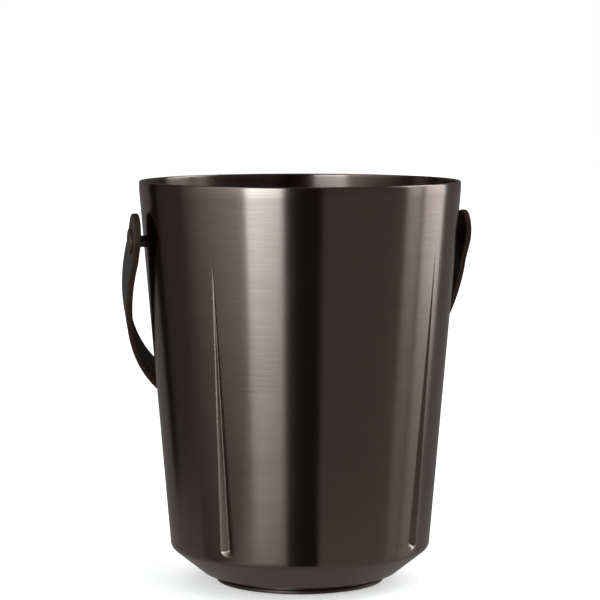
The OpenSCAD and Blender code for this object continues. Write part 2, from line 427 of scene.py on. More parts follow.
def brushed_metal(name, colour, edge_colour, roughness, anisotropy, axis="Z", centre=(0, 0, 0),
                  lines=1500.0, arc=3.0, bump=0.03, edge=(0.51, 0.56)):
    """Spun and brushed metal. `axis` and `centre` say what the piece was turned about."""
    material, tree, shader = new_material(name)
    coordinates = add(tree, "ShaderNodeTexCoord").outputs["Object"]
    on_axis = add(tree, "ShaderNodeMapping", vector_type="TEXTURE")
    join(tree, coordinates, on_axis.inputs[0])
    on_axis.inputs["Location"].default_value = centre
    if axis == "X":
        on_axis.inputs["Rotation"].default_value = (0, math.radians(90), 0)
    brushing = place_group(tree, brushing_group, on_axis.outputs[0], Lines_per_metre=lines,
                           Arc_detail=arc)
    worn = place_group(tree, edge_group, coordinates, From=edge[0], To=edge[1])
    touched = place_group(tree, handling_group, coordinates)

    lines_out, broad_out = brushing.outputs["Lines"], brushing.outputs["Broad"]
    line_share, broad_share, smudge_share = 0.9, 0.25, 0.03
    darker = tuple(c * 0.7 for c in colour)
    streaks = math_node(tree, "MULTIPLY_ADD", broad_out, broad_share,
                        math_node(tree, "MULTIPLY", lines_out, line_share))
    streaked = blend_colour(tree, streaks, darker, colour)
    join(tree, blend_colour(tree, worn.outputs["Mask"], streaked, edge_colour),
         shader.inputs["Base Color"])

    uneven = math_node(tree, "MULTIPLY_ADD", touched.outputs["Smudge"], smudge_share, roughness)
    join(tree, uneven, shader.inputs["Roughness"])
    emboss(tree, shader, lines_out, bump, 0.05 * mm)

    way = add(tree, "ShaderNodeTangent", direction_type="RADIAL", axis=axis)
    join(tree, way.outputs[0], shader.inputs["Tangent"])
    shader.inputs["Metallic"].default_value = 1.0
    shader.inputs["Anisotropic"].default_value = anisotropy
    quarter_turn = 0.25
    shader.inputs["Anisotropic Rotation"].default_value = quarter_turn
    return material


no_edge_wear = (0.9, 1.0)
gunmetal = brushed_metal("gunmetal_brushed", (0.272, 0.203, 0.189), (0.42, 0.34, 0.31), 0.21, 0.8,
                         edge=no_edge_wear)
foot_gunmetal = brushed_metal("gunmetal_foot", (0.14, 0.105, 0.095), (0.2, 0.15, 0.14), 0.42, 0.4)
stud_gunmetal = brushed_metal("gunmetal_stud", (0.17, 0.1, 0.083), (0.28, 0.18, 0.15), 0.36, 0.2,
                              axis="X", centre=(0, 0, stud_z), lines=5200.0)
stud_dark = brushed_metal("gunmetal_sleeve", (0.11, 0.095, 0.09), (0.2, 0.17, 0.16), 0.4, 0.3,
                          axis="X", centre=(0, 0, stud_z), lines=4200.0)
nut_steel = brushed_metal("nut_steel", (0.5, 0.48, 0.46), (0.62, 0.6, 0.58), 0.32, 0.4,
                          axis="X", centre=(0, 0, stud_z), lines=4200.0)
print("metals", [m.name for m in (gunmetal, foot_gunmetal, stud_gunmetal, stud_dark, nut_steel)])

# %% [markdown]
# ## Leather
#
# Leather grain is a net of fine creases between small flat pebbles. A Voronoi texture's
# distance to its cell edges draws that net; warping it with noise keeps the pebbles from
# looking like tiles. The same group serves the polished face, the plainer back and, stretched,
# the cut edge.

# %% Leather grain group
tree, group_in, group_out = new_group(
    "leather grain", [("Position", VECTOR, None), ("Scale", FLOAT, 900.0), ("Warp", FLOAT, 0.6)],
    [("Height", FLOAT), ("Creases", FLOAT), ("Patches", FLOAT)])
warp_noise = add(tree, "ShaderNodeTexNoise")
warp_noise.inputs["Scale"].default_value = 260.0
warp_noise.inputs["Detail"].default_value = 3.0
join(tree, group_in.outputs["Position"], warp_noise.inputs["Vector"])
centred = add(tree, "ShaderNodeVectorMath", operation="SUBTRACT")
join(tree, warp_noise.outputs["Color"], centred.inputs[0])
centred.inputs[1].default_value = (0.5, 0.5, 0.5)
amount = math_node(tree, "DIVIDE", group_in.outputs["Warp"], group_in.outputs["Scale"])
pushed = add(tree, "ShaderNodeVectorMath", operation="SCALE")
join(tree, centred.outputs[0], pushed.inputs[0])
join(tree, amount, pushed.inputs["Scale"])
warped = add(tree, "ShaderNodeVectorMath", operation="ADD")
join(tree, group_in.outputs["Position"], warped.inputs[0])
join(tree, pushed.outputs[0], warped.inputs[1])
cells = add(tree, "ShaderNodeTexVoronoi", feature="DISTANCE_TO_EDGE")
join(tree, warped.outputs[0], cells.inputs["Vector"])
join(tree, group_in.outputs["Scale"], cells.inputs["Scale"])
pebble = add(tree, "ShaderNodeMapRange", interpolation_type="SMOOTHSTEP")
join(tree, cells.outputs["Distance"], pebble.inputs["Value"])
pebble.inputs["From Max"].default_value = 0.22
pores = noise(tree, group_in.outputs["Position"], 3200.0, detail=2.0)
join(tree, math_node(tree, "MULTIPLY_ADD", pores, 0.35, pebble.outputs[0]), group_out.inputs["Height"])
join(tree, math_node(tree, "SUBTRACT", 1.0, pebble.outputs[0]), group_out.inputs["Creases"])
join(tree, noise(tree, group_in.outputs["Position"], 45.0, detail=4.0), group_out.inputs["Patches"])
grain_group = tree
print("group", tree.name, "with", len(tree.nodes), "nodes")


# %% Leather
def leather(name, colour, dark, light, roughness, scale, bump, gloss, stretch=(1, 1, 1)):
    """Leather with creases darker and worn patches lighter than its own colour."""
    material, tree, shader = new_material(name)
    place = add(tree, "ShaderNodeTexCoord").outputs["Object"]
    stretched = add(tree, "ShaderNodeMapping")
    join(tree, place, stretched.inputs[0])
    stretched.inputs["Scale"].default_value = stretch
    grain = place_group(tree, grain_group, stretched.outputs[0], Scale=scale)
    worn = place_group(tree, edge_group, place, From=0.52, To=0.62)
    touched = place_group(tree, handling_group, place, Scale=60.0)
    crease_dark, crease_rough, smudge_rough = 0.55, 0.14, -0.08
    mottled = blend_colour(tree, grain.outputs["Patches"], dark, colour)
    rubbed = blend_colour(tree, worn.outputs["Mask"], mottled, light)
    in_creases = math_node(tree, "MULTIPLY", grain.outputs["Creases"], crease_dark)
    join(tree, blend_colour(tree, in_creases, rubbed, dark), shader.inputs["Base Color"])
    uneven = math_node(tree, "MULTIPLY_ADD", grain.outputs["Creases"], crease_rough, roughness)
    uneven = math_node(tree, "MULTIPLY_ADD", touched.outputs["Smudge"], smudge_rough, uneven)
    join(tree, uneven, shader.inputs["Roughness"])
    emboss(tree, shader, grain.outputs["Height"], bump, 0.12 * mm)
    shader.inputs["Specular IOR Level"].default_value = gloss
    return material


leather_face = leather("leather_face", (0.041, 0.039, 0.036), (0.021, 0.019, 0.017),
                       (0.06, 0.048, 0.04), 0.4, 1100.0, 0.5, 0.6)
leather_back = leather("leather_back", (0.034, 0.0145, 0.0105), (0.016, 0.007, 0.0055),
                       (0.05, 0.024, 0.017), 0.66, 1500.0, 0.6, 0.18)
leather_edge = leather("leather_edge", (0.05, 0.021, 0.013), (0.022, 0.009, 0.006),
                       (0.014, 0.008, 0.006), 0.6, 700.0, 0.35, 0.2, stretch=(1, 0.25, 0.25))
print("leathers", [m.name for m in (leather_face, leather_back, leather_edge)])


# %% [markdown]
# ## Rubber
#
# The pad and the seals are moulded rubber. It is nearly black and matt, and it is never as clean
# as the metal: dust settles in it. A colour that leans to grey in the smudges and a fine bump are
# enough, because little of it is seen.


# %% Rubber
def rubber(name, colour, dusty, roughness):
    """Moulded rubber: matt, with a fine spark-eroded texture and a little dust on it."""
    material, tree, shader = new_material(name)
    place = add(tree, "ShaderNodeTexCoord").outputs["Object"]
    touched = place_group(tree, handling_group, place, Scale=70.0)
    share = math_node(tree, "MULTIPLY", touched.outputs["Smudge"], 0.5)
    join(tree, blend_colour(tree, share, colour, dusty), shader.inputs["Base Color"])
    rough = math_node(tree, "MULTIPLY_ADD", touched.outputs["Haze"], 0.2, roughness)
    join(tree, rough, shader.inputs["Roughness"])
    emboss(tree, shader, touched.outputs["Haze"], 0.25, 0.05 * mm)
    return material


pad_rubber = rubber("pad_rubber", (0.018, 0.017, 0.016), (0.05, 0.048, 0.045), 0.6)
seal_rubber = rubber("seal_rubber", (0.022, 0.021, 0.021), (0.045, 0.044, 0.043), 0.5)
print("rubbers", pad_rubber.name, seal_rubber.name)

# %% [markdown]
# ## The shell
#
# The shell is one sheet. Its section runs from the middle of the underside, round the chamfer
# and the knee, up the taper and the straight band, over the folded rim and back down inside.
# Inside, the fold is dressed down until it runs flush into the wall. The flutes are pressed
# into that sheet, so both faces of it move in together. A flute is a crease with two steep
# flanks: its soft lips and tight keel each draw one thin line of light. Sculpting or a boolean
# would leave ragged edges at the tips, where it thins to nothing. A formula gives the depth at
# any point instead, and the mesh is finer where it changes fastest.

# %% Flute formula
flute_count = 4
flute_half_w = 4.5 * mm
flute_slope = math.tan(math.radians(34))
# Over 1, a flank steepens towards the keel, and the lower end is blunter than a half circle.
flank_power = 1.06
flute_blunt = 1.6
flute_tip_z = bucket_h - 40 * mm
flute_low_z = knee_z + 7.6 * mm
flute_lip = 0.9 * mm
flute_keel = 0.4 * mm
tip_lip_share = 0.35
far_keel, far_reach = 0.5, 0.24
flute_span = (flute_tip_z - flute_low_z) / math.cos(lean)


def pressed(angle, z, grow=0.0):
    """Depth of the flutes below the plain wall: two flanks that steepen from soft lips to a
    keel, and go round the lower end. `grow` is the sheet's thickness for its far face, where
    the keel is rounder and the flute wider."""
    pitch = 2 * math.pi / flute_count
    aside = (angle % pitch - pitch / 2) * wall_r(z)
    up = (z - flute_low_z) / math.cos(lean)
    share = np.clip(1 - up / flute_span, 0, 1)
    keel = flute_keel * share + grow * far_keel
    past = (flute_blunt * np.minimum(up, 0)) ** 2 + np.maximum(up - flute_span, 0) ** 2
    off_keel = np.sqrt(aside ** 2 + past + keel ** 2) - keel
    reach = flute_half_w * share + grow * far_reach
    lip = flute_lip * (tip_lip_share + (1 - tip_lip_share) * share)
    inward = reach - off_keel
    inward = np.where(inward > lip, inward, np.maximum(inward + lip, 0) ** 2 / (4 * lip))
    return flute_slope / flank_power * inward ** flank_power / (reach + lip) ** (flank_power - 1)


deepest = pressed(math.pi / flute_count, flute_low_z)
print(f"flutes {2 * flute_half_w / mm:.1f} mm wide and {deepest / mm:.2f} mm deep at the lower end")

# %% Section of the sheet
def sheet_outline(inset):
    """Underside, chamfer, knee and taper, moved in by inset, from the axis up to the band."""
    chamfer = unit(np.array([knee_r - base_r, knee_z - underside_z]))
    rise = unit(np.array([rim_r - knee_r, band_z - knee_z]))

    def moved(corner, first, second):
        n1, n2 = np.array([-first[1], first[0]]), np.array([-second[1], second[0]])
        return np.array(corner) + (n1 + n2) * inset / (1 + n1 @ n2)

    level = np.array([1.0, 0.0])
    low = moved((base_r, underside_z), level, chamfer)
    knee = moved((knee_r, knee_z), chamfer, rise)
    top = np.array([rim_r - inset / math.cos(lean), band_z])
    return rounded([(0, low[1]), low, knee, top], [base_round - inset, knee_round - inset])


def finer(outline, fine_step=0.28 * mm, plain_step=2.5 * mm):
    """Short steps where the flutes end, longer ones on the plain taper."""
    fine_top = flute_low_z + 3 * mm
    out = [outline[0]]
    for a, b in zip(outline, outline[1:]):
        low, high = sorted((a[1], b[1]))
        cuts = [0.0, 1.0]
        if low < fine_top < high:
            cuts.insert(1, (fine_top - a[1]) / (b[1] - a[1]))
        for s, e in zip(cuts, cuts[1:]):
            p, q = a + (b - a) * s, a + (b - a) * e
            near = knee_z < (p[1] + q[1]) / 2 < fine_top
            out += list(divided([p, q], fine_step if near else plain_step)[1:])
    return np.array(out)


hem_in = rim_r - hem_t
hem_round = 0.95 * mm
dressed_round = 90 * mm
flush_z = band_z - (hem_t - wall_t / math.cos(lean)) / taper
blend_l = 5 * mm
blend_z = flush_z - blend_l
outside = finer(sheet_outline(0.0))
inside = finer(sheet_outline(wall_t))[::-1]
inside = inside[inside[:, 1] < blend_z - 0.3 * mm]
rim = divided(rounded(
    [(rim_r, band_z), (rim_r, bucket_h), (hem_in, bucket_h), (hem_in, flush_z),
     (hem_in - blend_l * taper, blend_z)],
    [hem_round, hem_round, dressed_round]), 1.5 * mm)
print("section points", len(outside), "outside,", len(rim), "rim,", len(inside), "inside")

# %% Shell rings
# Degrees from a flute's middle, out to where the mesh is finest and to where it is plain.
fine_to, plain_from = 4.5, 8.0
half_pitch = 180 / flute_count
near_flute = np.linspace(0, fine_to, 30, endpoint=False)
beside_flute = np.linspace(fine_to, plain_from, 7, endpoint=False)
between = np.linspace(plain_from, half_pitch, 15, endpoint=False)
one_side = np.concatenate([near_flute, beside_flute, between])
steps = np.concatenate([-one_side[:0:-1], one_side, [half_pitch]])
angles = np.concatenate([np.radians(half_pitch * (2 * i + 1) + steps) for i in range(flute_count)])


def shell_rings(outline, grow):
    """Rings of the section with the flutes pressed in, square to the wall."""
    rings = []
    for r, z in outline:
        depth = pressed(angles, z, grow) if knee_z < z < band_z else 0 * angles
        out = r - depth * math.cos(lean)
        rings.append(np.stack([out * np.cos(angles), out * np.sin(angles),
                               z + depth * math.sin(lean)], axis=-1))
    return rings


rings = np.array(shell_rings(outside, 0.0) + shell_rings(rim[1:-1], 0.0)
                 + shell_rings(inside, wall_t))
print("rings", rings.shape[0], "of", rings.shape[1], "points")

# %% [markdown]
# Each stud passes through the wall in a drilled hole. A boolean would leave long thin faces
# round it, which glossy metal shows up as dents. Instead a small block of quads is taken out
# of both faces of the sheet, and the gap is closed to a true circle.


# %% Drilled holes
stud_hole_r = 2.1 * mm


def block_edge(row, column, half, columns):
    """The points round a square block of the grid, in order, with the quads inside it."""
    side = range(-half, half)
    way = [(-half, i) for i in side] + [(i, half) for i in side]
    way += [(half, -i) for i in side] + [(-i, -half) for i in side]
    loop = [(row + i) * columns + (column + j) % columns for i, j in way]
    inner = {(row + i, (column + j) % columns) for i in side for j in side}
    return loop, inner


def drill(points, columns, row, azimuth, on_wall):
    """Points of a circle in the wall, one for each point of the block's edge."""
    column = int(np.argmin(np.abs(np.angle(np.exp(1j * (angles - azimuth))))))
    loop, inner = block_edge(row, column, 2, columns)
    circle = []
    for x, y, z in points[loop]:
        aside = -x * math.sin(azimuth) + y * math.cos(azimuth)
        a = math.atan2(z - stud_z, aside)
        aside, up = stud_hole_r * math.cos(a), stud_z + stud_hole_r * math.sin(a)
        out = math.sqrt(on_wall(up) ** 2 - aside ** 2)
        circle.append((out * math.cos(azimuth) - aside * math.sin(azimuth),
                       out * math.sin(azimuth) + aside * math.cos(azimuth), up))
    return loop, inner, circle


rows, columns = rings.shape[:2]
points = rings.reshape(-1, 3)
plain = [(i, j) for i in range(rows - 1) for j in range(columns)]
outer_row = int(np.argmin(np.abs(outside[:, 1] - stud_z)))
inner_row = rows - len(inside) + int(np.argmin(np.abs(inside[:, 1] - stud_z)))
faces, extra, gone = [], [], set()
for azimuth in (0.0, math.pi):
    pair = []
    for row, inset in ((outer_row, 0.0), (inner_row, wall_t / math.cos(lean))):
        loop, inner, circle = drill(points, columns, row, azimuth, lambda z: wall_r(z) - inset)
        gone |= inner
        first = len(points) + len(extra)
        extra += circle
        n = len(loop)
        faces += [(loop[i], loop[(i + 1) % n], first + (i + 1) % n, first + i) for i in range(n)]
        turn = [math.atan2(p[2] - stud_z, -p[0] * math.sin(azimuth) + p[1] * math.cos(azimuth))
                for p in circle]
        pair.append([first + i for i in np.argsort(turn)])
    outer_loop, inner_loop = pair
    n = len(outer_loop)
    faces += [(outer_loop[i], outer_loop[(i + 1) % n], inner_loop[(i + 1) % n], inner_loop[i])
              for i in range(n)]
faces += [(i * columns + j, i * columns + (j + 1) % columns, (i + 1) * columns + (j + 1) % columns,
           (i + 1) * columns + j) for i, j in plain if (i, j) not in gone]
print("holes cut at rows", outer_row, "and", inner_row, "- quads taken out:", len(gone))

# %% Shell mesh
shell_mesh = bpy.data.meshes.new("shell")
shell_mesh.from_pydata([tuple(p) for p in points] + extra, [], faces)
shell = in_scene("shell", shell_mesh)
shell_mesh.materials.append(gunmetal)
weld(shell)
report(shell)
for edge in shell_mesh.edges:
    ends = [shell_mesh.vertices[i].co for i in edge.vertices]
    in_hole = all(math.hypot(p.y, p.z - stud_z) < stud_hole_r + 0.1 * mm for p in ends)
    if in_hole and max(abs(p.x) for p in ends) > rim_r * 0.9:
        edge.use_edge_sharp = True
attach(shell, "bucket")
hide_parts("bucket_shell")

# %% [markdown]
# ## The foot
#
# The bucket stands on a ring welded under it: a flange, a groove that stays in shadow, and a
# bead. The groove makes the bucket seem to float. The ring is a closed outline swept once
# round, with small rounded edges that catch the light, and a small fillet where it meets the
# shell.

# %% Foot ring
ring_in = foot_r - 9 * mm
neck_r = foot_r - 2.2 * mm
bead_top = pad_t + 2.1 * mm
foot_outline = rounded(
    [(ring_in, (pad_t + underside_z) / 2), (ring_in, pad_t), (foot_r, pad_t), (foot_r, bead_top),
     (neck_r, bead_top), (neck_r, underside_z - 0.5 * mm), (neck_r + 0.45 * mm, underside_z),
     (ring_in, underside_z), (ring_in, (pad_t + underside_z) / 2)],
    [0.3 * mm, 0.55 * mm, 0.55 * mm, 0.4 * mm, 0.3 * mm, 0.0, 0.0], steps=6)
foot = report(skin("foot", turned(divided(foot_outline, 1.2 * mm), 192), foot_gunmetal))
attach(foot, "bucket")
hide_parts("foot_ring")

# %% [markdown]
# Under the ring sits a rubber disc with a boss that finds the ring's bore. Its underside has
# a few shallow moulded grooves, which let it grip a wet tray instead of sliding on a film of
# water.

# %% Foot pad
pad_r = foot_r - 4.5 * mm
boss_r = ring_in - 0.05 * mm
pad_points, pad_rounding = [(0, 0)], []
for groove_r in range(16, 44, 9):
    for r, z in ((-0.9, 0), (-0.5, 0.35), (0.5, 0.35), (0.9, 0)):
        pad_points.append(((groove_r + r) * mm, z * mm))
        pad_rounding.append(0.15 * mm)
pad_points += [(pad_r, 0), (pad_r, pad_t), (boss_r, pad_t), (boss_r, pad_t + 1.6 * mm),
               (0, pad_t + 1.6 * mm)]
pad_rounding += [0.3 * mm, 0.2 * mm, 0.1 * mm, 0.3 * mm]
pad_outline = divided(rounded(pad_points, pad_rounding, steps=3), 2.5 * mm)
pad = report(skin("pad", turned(pad_outline, 144), pad_rubber))
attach(pad, "bucket")
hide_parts("foot_pad")

# %% [markdown]
# ## Studs
#
# A disc-headed screw goes in from outside, through the strap, a shouldered sleeve and the
# wall. The sleeve's shoulder holds the leather clear of the rim, and the strap turns on its
# nose. Inside, a rubber washer keeps the water in, and a steel washer and a domed nut close
# it. All of them are turned about the stud's own axis, so they are made with that axis up and
# then laid on their side. The other stud is the same set turned half way round.

# %% Stud frame
strap_t = 4 * mm
strap_w = 25 * mm
strap_in = rim_r + 2.4 * mm
strap_mid = strap_in + strap_t / 2
strap_out = strap_in + strap_t
shoulder_x = strap_in - 0.15 * mm
nose_end = strap_out + 0.15 * mm
face_gap = 0.03 * mm
hair = 0.01 * mm
inner_wall = wall_r(stud_z) - wall_t / math.cos(lean)
seal_x = inner_wall - 1.5 * mm
backing_x = seal_x - 0.8 * mm
nut_hex_x = backing_x - 3.2 * mm
lay_down = Matrix.Translation((0, 0, stud_z)) @ Matrix.Rotation(math.pi / 2, 4, "Y")
half_turn = Matrix.Rotation(math.pi, 4, "Z")
sides = (("right", lay_down), ("left", half_turn @ lay_down))


def both_sides(name, rings, material, node):
    """Makes the piece from rings about +Z, lays it on each stud, names it by side and hides the CAD
    part it replaces.
    """
    for side, place in sides:
        piece = skin(f"{name}_{side}", rings, material)
        piece.data.transform(place)
        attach(piece, "bucket")
        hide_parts(f"{node}_{side}")
    report(piece)


def onto_wall(ring, inset):
    """Moves a ring of a stud piece along the stud, until it lies on the leaning wall."""
    ring = ring.copy()
    height = stud_z - ring[:, 0]
    at_wall = wall_r(height) - inset / math.cos(lean)
    ring[:, 2] = np.sqrt(at_wall ** 2 - ring[:, 1] ** 2)
    return ring


print(f"strap between {shoulder_x / mm:.2f} and {nose_end / mm:.2f} mm from the axis")

# %% Sleeves
shoulder_r, nose_r, bore_r = 3.6 * mm, 2.8 * mm, 2.05 * mm
wall_x = wall_r(stud_z)
sleeve_outline = rounded(
    [(bore_r, wall_x), (shoulder_r, wall_x), (shoulder_r, shoulder_x), (nose_r, shoulder_x),
     (nose_r, nose_end), (bore_r, nose_end), (bore_r, wall_x)],
    [0.0, 0.35 * mm, 0.1 * mm, 0.2 * mm, 0.1 * mm], steps=5)
sleeve_outline = divided(sleeve_outline, 1.4 * mm)
sleeve_rings = turned(sleeve_outline)
for i, (r, z) in enumerate(sleeve_outline):
    if z < wall_x + hair:
        sleeve_rings[i] = onto_wall(sleeve_rings[i], -face_gap)
both_sides("sleeve", sleeve_rings, stud_dark, "shoulder_sleeve")

# %% Screws
head_r, head_t, shank_r = 7.7 * mm, 1.3 * mm, 2.0 * mm
shank_end = nut_hex_x - 0.8 * mm
head_face = nose_end + head_t
screw_outline = rounded(
    [(0, shank_end), (shank_r, shank_end), (shank_r, nose_end), (head_r, nose_end),
     (head_r, head_face), (0, head_face)],
    [0.4 * mm, 0.15 * mm, 0.15 * mm, 0.45 * mm], steps=6)
both_sides("screw", turned(divided(screw_outline, 0.9 * mm), 96), stud_gunmetal, "stud_screw")

# %% Seals and washers
seal_r, washer_r, seam_r = 6 * mm, 5.5 * mm, 3.5 * mm
seal_outline = divided(rounded(
    [(bore_r, seal_x), (seal_r, seal_x), (seal_r, inner_wall), (bore_r, inner_wall),
     (bore_r, seal_x)], [0.3 * mm, 0.0, 0.0], steps=5), 1.0 * mm)
seal_rings = turned(seal_outline)
for i, (r, z) in enumerate(seal_outline):
    if z > inner_wall - hair:
        seal_rings[i] = onto_wall(seal_rings[i], wall_t + face_gap)
both_sides("seal", seal_rings, seal_rubber, "seal_washer")
washer_outline = rounded(
    [(seam_r, seal_x), (bore_r, seal_x), (bore_r, backing_x), (washer_r, backing_x),
     (washer_r, seal_x), (seam_r, seal_x)], [0.1 * mm, 0.1 * mm, 0.2 * mm, 0.1 * mm], steps=4)
both_sides("washer", turned(divided(washer_outline, 1.0 * mm)), nut_steel, "backing_washer")

# %% [markdown]
# A hexagon nut is round bar and flats at once. Each ring of the mesh takes the smaller of two
# radii: the hexagon's at that angle, and the chamfer's at that height. That gives the curved
# lines where the chamfer cuts the six corners, as on a turned nut. A low dome closes it.

# %% Cap nuts
nut_af = 7 * mm
chamfer_r = nut_af / 2 * 0.985
dome_h = 2.0 * mm
blind_x = nut_hex_x - 1.2 * mm
dome_r = ((nut_af / 2) ** 2 + dome_h ** 2) / (2 * dome_h)
nut_angles = np.linspace(0, 2 * math.pi, 96, endpoint=False)
whole = np.ones(len(nut_angles))
hexagon = nut_af / 2 / np.cos((nut_angles + math.pi / 6) % (math.pi / 3) - math.pi / 6)
nut_rings = []
for share in np.linspace(0, 1, 10)[:-1]:
    height = dome_h * (1 - share)
    r = math.sqrt(max(0.0, dome_r ** 2 - (dome_r - dome_h + height) ** 2))
    nut_rings.append((r * whole, nut_hex_x - height))
for x in np.linspace(nut_hex_x, backing_x, 14):
    corner = min(x - nut_hex_x, backing_x - x) / math.tan(math.radians(30))
    nut_rings.append((np.minimum(hexagon, chamfer_r + corner), x))
for r, x in ((3.0 * mm, backing_x), (bore_r, backing_x), (bore_r, blind_x), (0, blind_x)):
    nut_rings.append((r * whole, x))
nut_cos, nut_sin = np.cos(nut_angles), np.sin(nut_angles)
nut_rings = [np.stack([r * nut_cos, r * nut_sin, x * whole], axis=-1) for r, x in nut_rings]
both_sides("nut", nut_rings, nut_steel, "cap_nut")

# %% [markdown]
# ## The strap
#
# The handle is one thick bridle-leather strap, cut with a round end past each stud. It lies
# flat under the stud's head, bows out over a shoulder and comes round behind the bucket. Its
# middle line is a Bezier curve, whose four points a maker could bend by hand. Leather that is
# bevelled and burnished has no sharp edge, so each ring of the mesh is a rectangle with round
# arrises, and the round ends are made by shrinking that ring along a half circle.

# %% Strap middle line
tab_l = 19 * mm
flat_l = head_r + 0.3 * mm
strap_lead = 4 * mm
strap_reach = 152.5 * mm
strap_shoulder = 16.8 * mm
ctrl = np.array([(strap_mid, flat_l), (strap_mid, flat_l + strap_lead),
                 (strap_mid + strap_shoulder, strap_reach), (0, strap_reach)])


def bend(t):
    """A point of the middle line: distance from the centre plane and from the stud axis."""
    weights = np.array([(1 - t) ** 3, 3 * (1 - t) ** 2 * t, 3 * (1 - t) * t ** 2, t ** 3])
    return weights @ ctrl


def bend_way(t):
    """Its direction."""
    weights = np.array([(1 - t) ** 2, 2 * (1 - t) * t, t ** 2])
    return unit(weights @ (ctrl[1:] - ctrl[:-1]))


# It hangs back until the crown's inner lower edge is 0.5 mm from the wall, which is where
# hang_p * sin(hang) + hang_q * cos(hang) comes to hang_k.
crown_in = strap_reach - strap_t / 2
hang_p = crown_in + taper * strap_w / 2
hang_q = taper * crown_in - strap_w / 2
hang_k = wall_r(stud_z) + 0.5 * mm
hang = math.asin(hang_k / math.hypot(hang_p, hang_q)) - math.atan2(hang_q, hang_p)
print(f"the strap hangs {math.degrees(hang):.1f} degrees back from straight down")

# %% Strap section
arris = 0.9 * mm
half_w, half_t = strap_w / 2, strap_t / 2
face_columns = 12
arc = [(arris * (1 - math.cos(a)), half_t - arris + arris * math.sin(a))
       for a in np.linspace(0, math.pi / 2, 6)]
edge_rows = [(0.0, t) for t in np.linspace(-(half_t - arris), half_t - arris, 5)[1:-1]]
edge_profile = [(i, -t) for i, t in arc[::-1]] + edge_rows + arc
face_shares = np.linspace(1, -1, face_columns + 1)[1:-1]
print("points round one section", 2 * (len(edge_profile) + len(face_shares)))


def strap_ring(end_turn, centre, out):
    """One ring. `end_turn` goes from 0 on the straight to 90 degrees at the tip of the tab."""
    ring = []

    def place(along, across, lift):
        spot = centre + out * lift + np.array([0.0, along])
        ring.append((spot[0], spot[1], across))

    for side in (1, -1):
        for inset, lift in (edge_profile if side == 1 else edge_profile[::-1]):
            r = half_w - inset
            place(-r * math.sin(end_turn), side * r * math.cos(end_turn), lift)
        r = half_w - arris
        for share in face_shares:
            place(-r * math.sin(end_turn), side * share * r * math.cos(end_turn), side * half_t)
    return ring


# %% Strap rings
end_y = -(tab_l - half_w)
outward = np.array([1.0, 0.0])
half_rings = []
for turn in np.radians([90, 87, 83, 78, 72, 65, 57, 48, 38, 28, 18, 9]):
    half_rings.append(strap_ring(turn, np.array([strap_mid, end_y]), outward))
for y in np.linspace(end_y, flat_l, 9)[:-1]:
    half_rings.append(strap_ring(0, np.array([strap_mid, y]), outward))
for t in np.linspace(0, 1, 61):
    way = bend_way(t)
    half_rings.append(strap_ring(0, bend(t), np.array([way[1], -way[0]])))
half_rings = np.array(half_rings)
other = half_rings[-2::-1].copy()
other[:, :, 0] *= -1
strap_rings = np.concatenate([half_rings, other])
print("strap rings", strap_rings.shape)
hanging = Matrix.Translation((0, 0, stud_z)) @ Matrix.Rotation(hang - math.pi / 2, 4, "X")
strap = skin("strap", strap_rings, leather_face)

# %% Strap faces
strap.data.materials.append(leather_edge)
strap.data.materials.append(leather_back)
strap.data.update()
flat_reach = half_w - arris * 0.5
inside_y = 60 * mm
for face in strap.data.polygons:
    spot = face.center
    past_end = min(0.0, spot.y - end_y)
    looks_in = face.normal.dot(Vector((0, inside_y, spot.z)) - spot) > 0
    if math.hypot(spot.z, past_end) >= flat_reach:
        face.material_index = 1
    elif looks_in:
        face.material_index = 2
counts = [sum(f.material_index == i for f in strap.data.polygons) for i in range(3)]
print("faces of grain, edge and back:", counts)

# %% Stud holes in the strap
hole_r = nose_r + 0.08 * mm
past_tabs = strap_out + 10 * mm
cutter = skin("strap_hole", turned([(0, -past_tabs), (hole_r, -past_tabs), (hole_r, past_tabs),
                                    (0, past_tabs)], 48), leather_edge)
cutter.data.transform(Matrix.Rotation(math.pi / 2, 4, "Y"))
cut = strap.modifiers.new("stud holes", "BOOLEAN")
cut.object = cutter
cut.operation = "DIFFERENCE"
cut.solver = "EXACT"
evaluated = strap.evaluated_get(bpy.context.evaluated_depsgraph_get())
drilled = bpy.data.meshes.new_from_object(evaluated)
strap.modifiers.clear()
strap.data = drilled
bpy.data.objects.remove(cutter)
strap.data.transform(hanging)
report(strap)
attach(strap, "handle")
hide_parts("handle_strap")

# %% [markdown]
# ## Studio
#
# The floor and the surroundings aren't part of the object. A dark, glossy thing is lit by what
# it reflects, and each panel here gives one band of light on the metal. From far left to far
# right stand a dark flag, a dim card, a screen that brightens towards the camera, a strong
# softbox, a black card round the lens that keeps the middle of the bucket dark, and two bright
# panels with a thin dark gap between them. From the foot of each, a strip of card runs along
# the floor and carries its band down over the knee and the chamfer. A round wall mirrors a room
# as if from half its radius out, so a strip narrows towards the bucket to keep its band upright.


# %% Panels
panel_distance = 1100 * mm
mirror_out = 40 * mm
strip_h = 0.5 * mm
plain_light, cool, crisp = (0.95, 1.0, 0.96), (0.8, 1.0, 1.01), (0.9, 1.0, 0.98)
brown, rosy = (1.0, 0.8, 0.62), (1.0, 0.92, 0.96)


